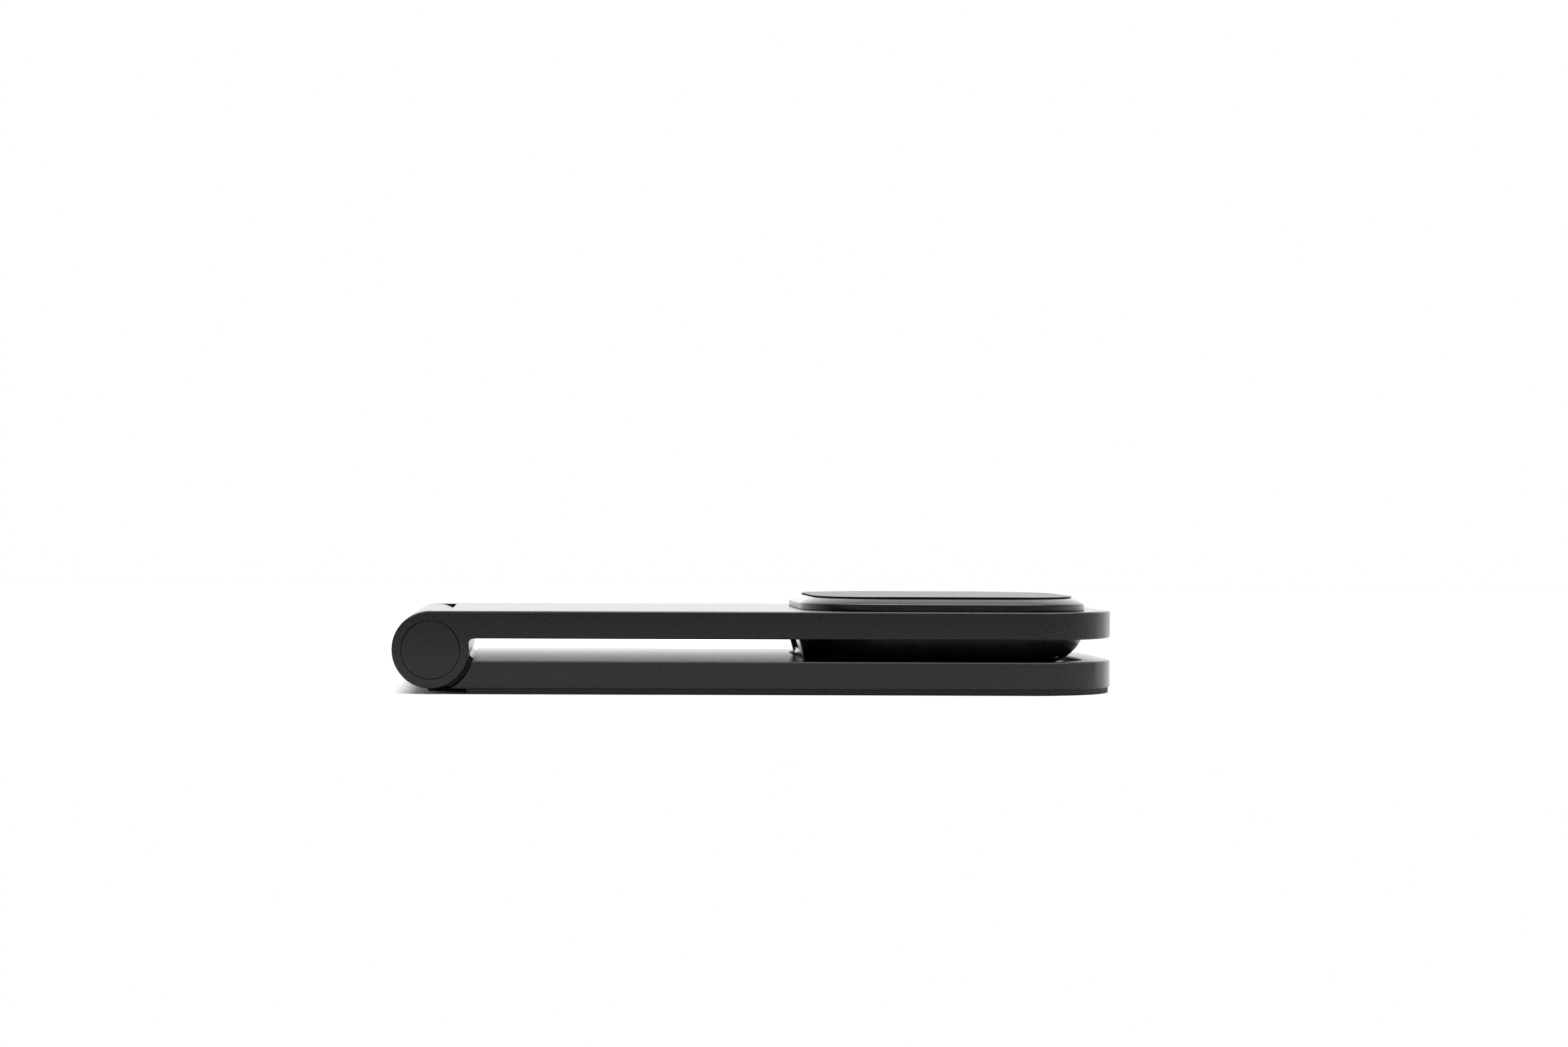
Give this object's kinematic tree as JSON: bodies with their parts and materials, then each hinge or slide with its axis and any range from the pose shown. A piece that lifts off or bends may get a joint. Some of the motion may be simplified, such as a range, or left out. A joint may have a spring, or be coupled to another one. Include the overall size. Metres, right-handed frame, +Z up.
{
  "type": "folding device stand",
  "caption": "Slim folding stand: a base plate and an arm plate on a barrel friction hinge, with a rounded-square magnetic charging puck clamped in the arm.",
  "frame": {"origin": "middle of the folded stand's footprint, on the surface it stands on", "axes": "+X from the hinge to the free ends, +Y along the hinge axis away from the front, +Z up, out of the charging pad"},
  "size_m": [0.1514, 0.0636, 0.0202],
  "materials": {
    "anodised_aluminium": "dark anodised over a fine bead-blasted grain",
    "sole_rubber": "matte",
    "liner_elastomer": "soft microcellular elastomer",
    "steel": "zinc plated",
    "black_steel": "black oxide",
    "bronze": "sintered",
    "housing_plastic": "gloss",
    "inner_plastic": "moulded",
    "bowl_plastic": "semi-gloss",
    "pad_silicone": "soft-touch satin",
    "magnet_nickel": "nickel plated",
    "coil_copper": "enamelled litz wire",
    "ferrite": "matte sintered",
    "board": "solder mask"
  },
  "bodies": {
    "base": {"base_plate": "anodised_aluminium", "base_sole": "sole_rubber", "pocket_liner": "liner_elastomer", "ballast_plate": "steel", "ballast_screw_1": "steel", "ballast_screw_2": "steel", "ballast_screw_3": "steel", "ballast_screw_4": "steel", "hinge_shaft": "steel", "shaft_grub_screw_1": "steel", "shaft_grub_screw_2": "steel", "shaft_clip_near": "steel", "shaft_clip_far": "steel"},
    "arm": {"arm_plate": "anodised_aluminium", "hinge_cap_near": "anodised_aluminium", "hinge_cap_far": "anodised_aluminium", "magnet_yoke": "steel", "shield_can": "steel", "usb_c_shell": "steel", "puck_screw_1": "black_steel", "puck_screw_2": "black_steel", "puck_screw_3": "black_steel", "puck_screw_4": "black_steel", "thrust_washer_near": "bronze", "thrust_washer_far": "bronze", "friction_sleeve_near": "bronze", "friction_sleeve_far": "bronze", "puck_top_housing": "housing_plastic", "coil_carrier": "inner_plastic", "usb_c_tongue": "inner_plastic", "puck_bowl": "bowl_plastic", "puck_pad": "pad_silicone", "magnet_ring": "magnet_nickel", "charging_coil": "coil_copper", "ferrite_shield": "ferrite", "circuit_board": "board"}
  },
  "joints": [
    {"name": "arm_fold", "type": "hinge", "parent": "base", "child": "arm", "pos_m": [-0.0677, 0, 0.00915], "axis": [0, -1, 0], "range_deg": [0, 110]}
  ]
}
